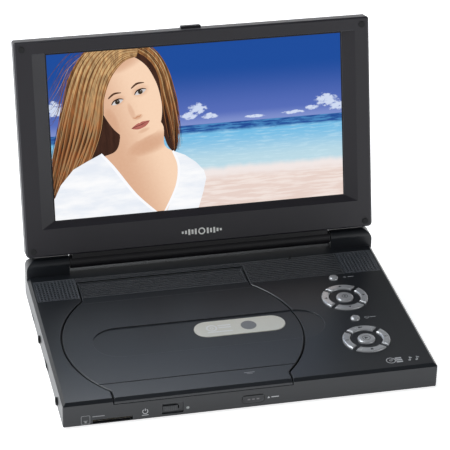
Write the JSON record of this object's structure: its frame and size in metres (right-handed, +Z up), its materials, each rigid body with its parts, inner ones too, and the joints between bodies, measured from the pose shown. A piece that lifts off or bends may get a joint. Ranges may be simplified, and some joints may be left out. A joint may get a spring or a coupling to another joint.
{
  "type": "portable dvd player",
  "caption": "Portable disc player: flat base with a top-loading disc door, key rings and speakers, and a widescreen display in a hinged lid.",
  "frame": {"origin": "on the table, under the middle of the footprint with the lid open", "axes": "+X to the right across the front, +Y towards the rear, +Z up"},
  "size_m": [0.2672, 0.2218, 0.1942],
  "materials": {
    "black_moulding": "satin moulded, near-black charcoal",
    "lid_moulding": "satin moulded, charcoal with a faint warm cast",
    "inner_moulding": "matt black moulding",
    "silver_keys": "silver-painted, glossy",
    "badge_plate": "warm silver-beige enamel",
    "screen_glass": "glossy panel, lit picture behind",
    "steel": "plated steel",
    "rod_steel": "polished steel",
    "circuit_board": "green solder mask",
    "battery_wrap": "dark film wrap",
    "rubber": "soft matt rubber",
    "white_backlight": "pressed frame",
    "lens": "coated lens",
    "lamp": "clear light pipe",
    "speaker_cone": "paper cone in a pressed basket"
  },
  "bodies": {
    "base": {"base_top_shell": "black_moulding", "hinge_caps": "black_moulding", "base_bottom_cover": "inner_moulding", "base_screws": "steel", "rubber_feet": "rubber", "speaker_grilles": "black_moulding", "speakers": "speaker_cone", "disc_well": "inner_moulding", "drive_chassis": "steel", "chassis_grommets": "rubber", "guide_rods": "rod_steel", "spindle_motor": "steel", "feed_motor": "steel", "main_board": "circuit_board", "battery_pack": "battery_wrap", "key_board": "circuit_board", "key_mat": "rubber", "card_socket": "steel", "audio_jacks": "inner_moulding", "data_socket": "steel", "power_inlet": "inner_moulding", "power_lamp": "lamp", "catch_spring": "steel", "power_switch": "inner_moulding", "volume_control": "steel", "hinge_brackets": "steel"},
    "lid": {"lid_bezel": "lid_moulding", "lid_back_cover": "lid_moulding", "hinge_arms": "steel", "hinge_barrel": "lid_moulding", "lcd_panel": "screen_glass", "backlight_unit": "white_backlight", "inverter_board": "circuit_board", "lid_bumpers": "rubber", "lid_screws": "steel"},
    "door": {"disc_door": "black_moulding", "door_hinge_pins": "rod_steel", "door_badge": "badge_plate"},
    "turntable": {"disc_turntable": "inner_moulding"},
    "sled": {"pickup_sled": "inner_moulding"},
    "lens": {"lens_holder": "inner_moulding", "objective_lens": "lens"},
    "lead_screw": {"lead_screw": "rod_steel"},
    "open_button": {"open_button": "black_moulding", "door_catch": "inner_moulding"},
    "power_knob": {"power_knob": "black_moulding"},
    "volume_wheel": {"volume_wheel": "inner_moulding"},
    "lid_switch_plunger": {"lid_switch_plunger": "inner_moulding"},
    "rear_key_up": {"rear_key_up": "silver_keys"},
    "rear_key_left": {"rear_key_left": "silver_keys"},
    "rear_key_down": {"rear_key_down": "silver_keys"},
    "rear_key_right": {"rear_key_right": "silver_keys"},
    "rear_key_centre": {"rear_key_centre": "silver_keys"},
    "front_key_up": {"front_key_up": "silver_keys"},
    "front_key_left": {"front_key_left": "silver_keys"},
    "front_key_down": {"front_key_down": "silver_keys"},
    "front_key_right": {"front_key_right": "silver_keys"},
    "front_key_centre": {"front_key_centre": "silver_keys"},
    "rear_small_key": {"rear_small_key": "silver_keys"},
    "front_small_key": {"front_small_key": "silver_keys"}
  },
  "joints": [
    {"name": "lid_hinge", "type": "hinge", "parent": "base", "child": "lid", "pos_m": [0, 0.0631, 0.0285], "axis": [-1, 0, 0], "range_deg": [-104.4, 35]},
    {"name": "door_hinge", "type": "hinge", "parent": "base", "child": "door", "pos_m": [-0.035, 0.0435, 0.018], "axis": [-1, 0, 0], "range_deg": [0, 50]},
    {"name": "spindle", "type": "hinge", "parent": "base", "child": "turntable", "pos_m": [-0.035, -0.0403, 0.0112], "axis": [0, 0, 1], "continuous": true},
    {"name": "sled_slide", "type": "slide", "parent": "base", "child": "sled", "axis": [-1, 0, 0], "range_m": [0, 0.0335]},
    {"name": "screw_turn", "type": "hinge", "parent": "base", "child": "lead_screw", "pos_m": [-0.07, -0.0143, 0.0068], "axis": [1, 0, 0], "range_deg": [-10, 4030]},
    {"name": "lens_focus", "type": "slide", "parent": "sled", "child": "lens", "axis": [0, 0, 1], "range_m": [-0.0003, 0.0004], "stiffness_N_per_m": 150},
    {"name": "open_press", "type": "slide", "parent": "base", "child": "open_button", "axis": [0, 1, 0], "range_m": [0, 0.002], "stiffness_N_per_m": 200},
    {"name": "power_slide", "type": "slide", "parent": "base", "child": "power_knob", "axis": [1, 0, 0], "range_m": [0, 0.0036]},
    {"name": "volume_turn", "type": "hinge", "parent": "base", "child": "volume_wheel", "pos_m": [-0.1248, -0.03745, 0.0046], "axis": [0, 0, 1], "range_deg": [-140, 140]},
    {"name": "lid_switch_press", "type": "slide", "parent": "base", "child": "lid_switch_plunger", "axis": [0, 0, -1], "range_m": [0, 0.001], "stiffness_N_per_m": 120},
    {"name": "rear_key_up_press", "type": "slide", "parent": "base", "child": "rear_key_up", "axis": [0, 0, -1], "range_m": [0, 0.0007], "stiffness_N_per_m": 200},
    {"name": "rear_key_left_press", "type": "slide", "parent": "base", "child": "rear_key_left", "axis": [0, 0, -1], "range_m": [0, 0.0007], "stiffness_N_per_m": 200},
    {"name": "rear_key_down_press", "type": "slide", "parent": "base", "child": "rear_key_down", "axis": [0, 0, -1], "range_m": [0, 0.0007], "stiffness_N_per_m": 200},
    {"name": "rear_key_right_press", "type": "slide", "parent": "base", "child": "rear_key_right", "axis": [0, 0, -1], "range_m": [0, 0.0007], "stiffness_N_per_m": 200},
    {"name": "rear_key_centre_press", "type": "slide", "parent": "base", "child": "rear_key_centre", "axis": [0, 0, -1], "range_m": [0, 0.0007], "stiffness_N_per_m": 200},
    {"name": "front_key_up_press", "type": "slide", "parent": "base", "child": "front_key_up", "axis": [0, 0, -1], "range_m": [0, 0.0007], "stiffness_N_per_m": 200},
    {"name": "front_key_left_press", "type": "slide", "parent": "base", "child": "front_key_left", "axis": [0, 0, -1], "range_m": [0, 0.0007], "stiffness_N_per_m": 200},
    {"name": "front_key_down_press", "type": "slide", "parent": "base", "child": "front_key_down", "axis": [0, 0, -1], "range_m": [0, 0.0007], "stiffness_N_per_m": 200},
    {"name": "front_key_right_press", "type": "slide", "parent": "base", "child": "front_key_right", "axis": [0, 0, -1], "range_m": [0, 0.0007], "stiffness_N_per_m": 200},
    {"name": "front_key_centre_press", "type": "slide", "parent": "base", "child": "front_key_centre", "axis": [0, 0, -1], "range_m": [0, 0.0007], "stiffness_N_per_m": 200},
    {"name": "rear_small_key_press", "type": "slide", "parent": "base", "child": "rear_small_key", "axis": [0, 0, -1], "range_m": [0, 0.0007], "stiffness_N_per_m": 200},
    {"name": "front_small_key_press", "type": "slide", "parent": "base", "child": "front_small_key", "axis": [0, 0, -1], "range_m": [0, 0.0007], "stiffness_N_per_m": 200}
  ],
  "couplings": [
    {"joint": "screw_turn", "follows": "sled_slide", "rad_per_m": 2094.4}
  ]
}
